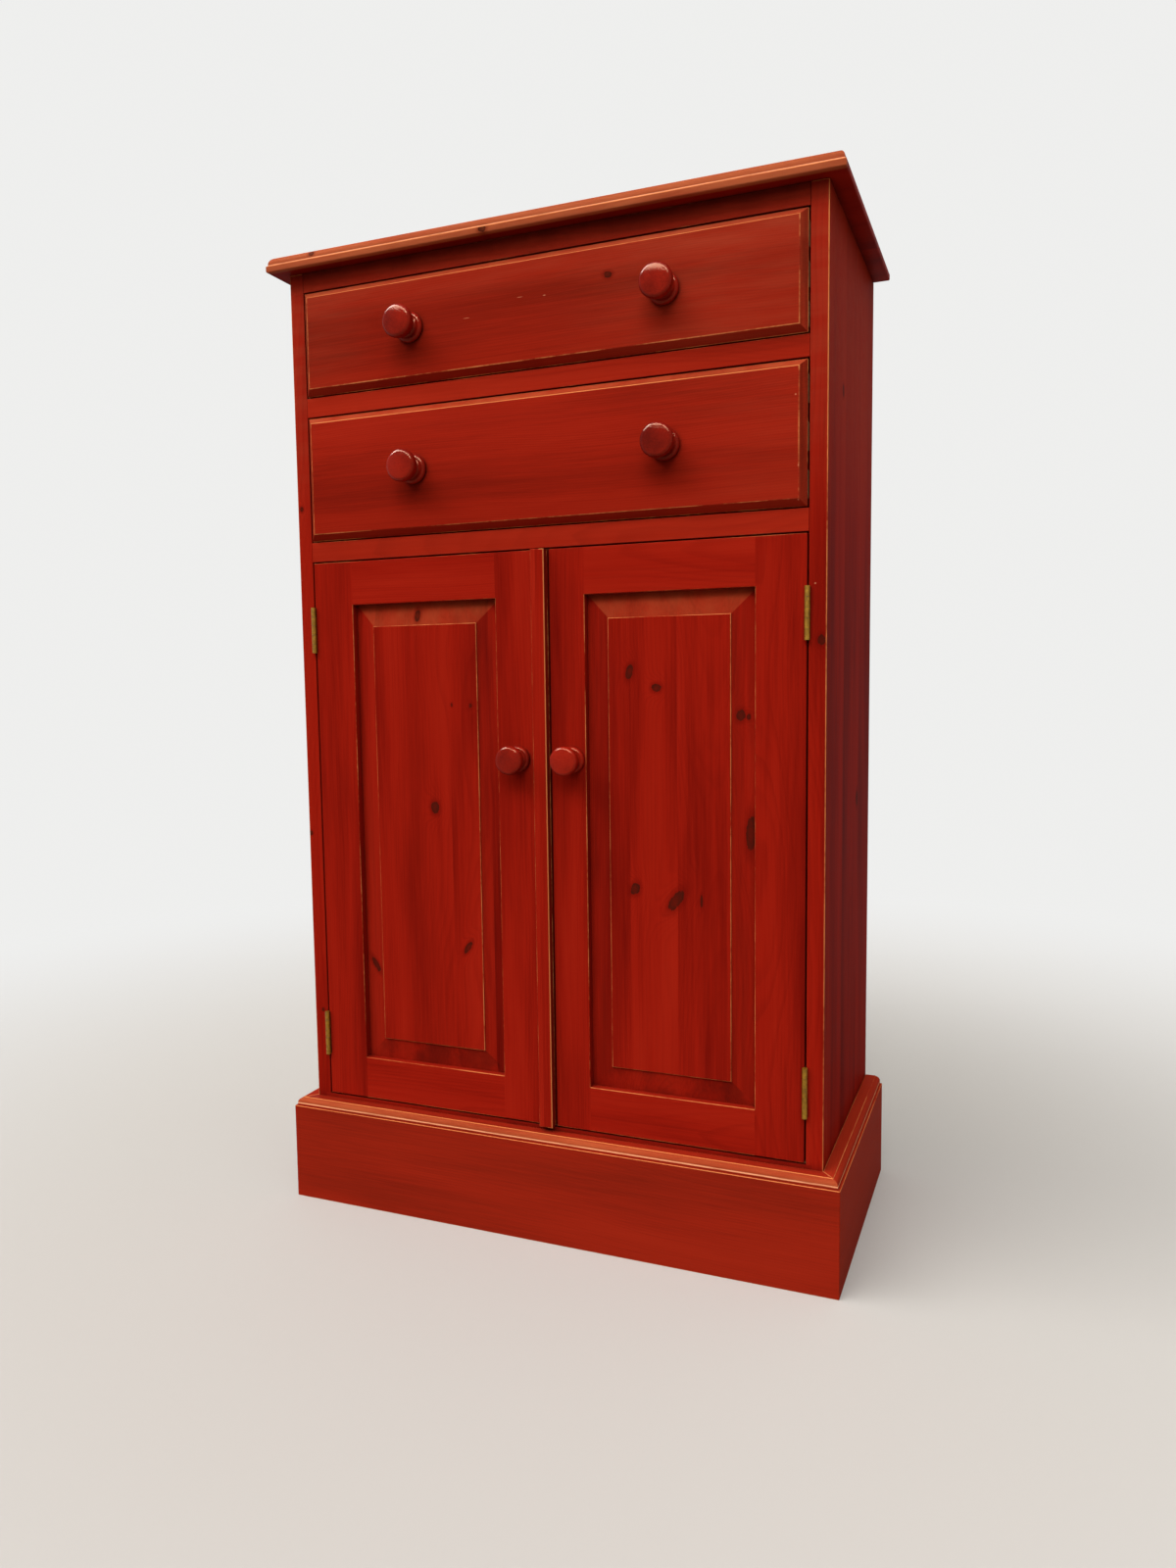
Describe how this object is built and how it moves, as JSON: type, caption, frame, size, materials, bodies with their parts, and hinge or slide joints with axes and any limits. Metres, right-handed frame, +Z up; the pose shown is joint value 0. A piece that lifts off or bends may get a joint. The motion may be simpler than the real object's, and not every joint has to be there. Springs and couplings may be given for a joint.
{
  "type": "pine cabinet",
  "caption": "Narrow stained pine cupboard with drawers over a pair of panelled doors, turned wooden knobs, a moulded top and a skirting plinth.",
  "frame": {"origin": "on the floor, under the middle of the box that holds the whole cupboard, knobs included", "axes": "+Z up, +Y from the front to the back, +X to the right of a person facing the front"},
  "size_m": [0.623, 0.3222, 1.0525],
  "materials": {
    "stained_pine": "waxed, satin",
    "bare_pine": "planed, unfinished",
    "brass": "dull, tarnished",
    "steel": "dull",
    "catch_plastic": "matt"
  },
  "bodies": {
    "carcass": {"back_board_1": "bare_pine", "back_board_2": "bare_pine", "back_board_3": "bare_pine", "back_board_4": "bare_pine", "back_board_5": "bare_pine", "bottom_board": "bare_pine", "carcass_hinge_leaves": "brass", "carcass_hinge_screws": "steel", "door_catch": "catch_plastic", "drawer_stops": "bare_pine", "hinge_pins": "brass", "lower_rail": "stained_pine", "lower_runners": "bare_pine", "middle_rail": "stained_pine", "plinth_blocks": "bare_pine", "plinth_front": "stained_pine", "plinth_left": "stained_pine", "plinth_right": "stained_pine", "shelf": "bare_pine", "shelf_battens": "bare_pine", "side_left": "stained_pine", "side_right": "stained_pine", "top_board": "stained_pine", "top_kickers": "bare_pine", "top_rail_back": "bare_pine", "top_rail_front": "stained_pine", "upper_runners": "bare_pine"},
    "upper_drawer": {"upper_drawer_back": "bare_pine", "upper_drawer_bottom": "bare_pine", "upper_drawer_front": "stained_pine", "upper_drawer_knob_left": "stained_pine", "upper_drawer_knob_right": "stained_pine", "upper_drawer_side_left": "bare_pine", "upper_drawer_side_right": "bare_pine"},
    "lower_drawer": {"lower_drawer_back": "bare_pine", "lower_drawer_bottom": "bare_pine", "lower_drawer_front": "stained_pine", "lower_drawer_knob_left": "stained_pine", "lower_drawer_knob_right": "stained_pine", "lower_drawer_side_left": "bare_pine", "lower_drawer_side_right": "bare_pine"},
    "left_door": {"cover_strip": "stained_pine", "left_door_bottom_rail": "stained_pine", "left_door_hinge_leaves": "brass", "left_door_hinge_screws": "steel", "left_door_knob": "stained_pine", "left_door_left_stile": "stained_pine", "left_door_panel": "stained_pine", "left_door_right_stile": "stained_pine", "left_door_strike": "steel", "left_door_top_rail": "stained_pine"},
    "right_door": {"right_door_bottom_rail": "stained_pine", "right_door_hinge_leaves": "brass", "right_door_hinge_screws": "steel", "right_door_knob": "stained_pine", "right_door_left_stile": "stained_pine", "right_door_panel": "stained_pine", "right_door_right_stile": "stained_pine", "right_door_strike": "steel", "right_door_top_rail": "stained_pine"}
  },
  "joints": [
    {"name": "upper_drawer_slide", "type": "slide", "parent": "carcass", "child": "upper_drawer", "axis": [0, -1, 0], "range_m": [0, 0.2]},
    {"name": "lower_drawer_slide", "type": "slide", "parent": "carcass", "child": "lower_drawer", "axis": [0, -1, 0], "range_m": [0, 0.2]},
    {"name": "left_door_hinge", "type": "hinge", "parent": "carcass", "child": "left_door", "pos_m": [-0.27425, -0.12555, 0.4222], "axis": [0, 0, -1], "range_deg": [0, 175]},
    {"name": "right_door_hinge", "type": "hinge", "parent": "carcass", "child": "right_door", "pos_m": [0.27425, -0.12555, 0.4222], "axis": [0, 0, 1], "range_deg": [0, 175]}
  ]
}
